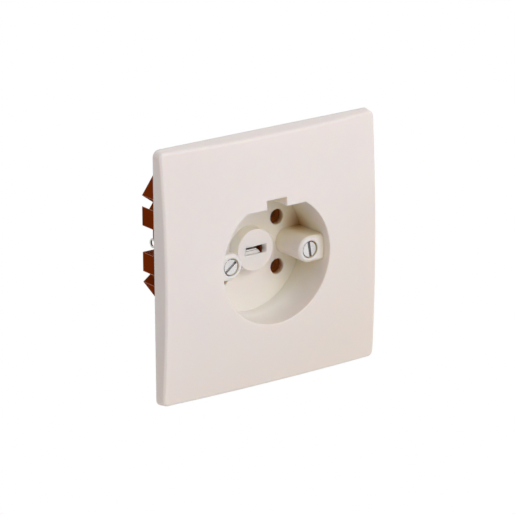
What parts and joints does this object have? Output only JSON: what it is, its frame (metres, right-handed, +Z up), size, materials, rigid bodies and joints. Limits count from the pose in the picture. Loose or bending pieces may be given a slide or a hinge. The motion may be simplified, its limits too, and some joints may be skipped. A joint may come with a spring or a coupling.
{
  "type": "perilex socket",
  "caption": "Flush wall socket with a square domed cover, a round keyed recess with round pin holes and a flat earth slot, and a dark base behind it.",
  "frame": {"origin": "centre of the two box screw slots, on the wall plane behind the cover plate", "axes": "+Y goes into the wall, the front faces -Y, +Z is up and +X is to the right as seen from the front"},
  "size_m": [0.0806, 0.0434, 0.0806],
  "materials": {
    "cover_plastic": "satin",
    "base_plastic": "gloss",
    "yoke_steel": "satin",
    "screw_steel": "satin",
    "contact_brass": "satin",
    "earth_metal": "polished",
    "spring_steel": "satin"
  },
  "bodies": {
    "root": {"front_cover": "cover_plastic", "mounting_yoke": "yoke_steel", "base_body": "base_plastic", "cover_screw_left": "screw_steel", "cover_screw_right": "screw_steel", "cover_nut_left": "screw_steel", "cover_nut_right": "screw_steel", "clip_wire_left": "spring_steel", "clip_wire_right": "spring_steel", "contact_line_1": "contact_brass", "contact_line_2": "contact_brass", "contact_line_3": "contact_brass", "contact_neutral": "contact_brass", "contact_spring_line_1": "spring_steel", "contact_spring_line_2": "spring_steel", "contact_spring_line_3": "spring_steel", "contact_spring_neutral": "spring_steel", "terminal_screw_line_1": "screw_steel", "terminal_screw_line_2": "screw_steel", "terminal_screw_line_3": "screw_steel", "terminal_screw_neutral": "screw_steel", "terminal_screw_earth": "screw_steel", "earth_contact": "earth_metal", "earth_terminal": "contact_brass"}
  },
  "joints": []
}
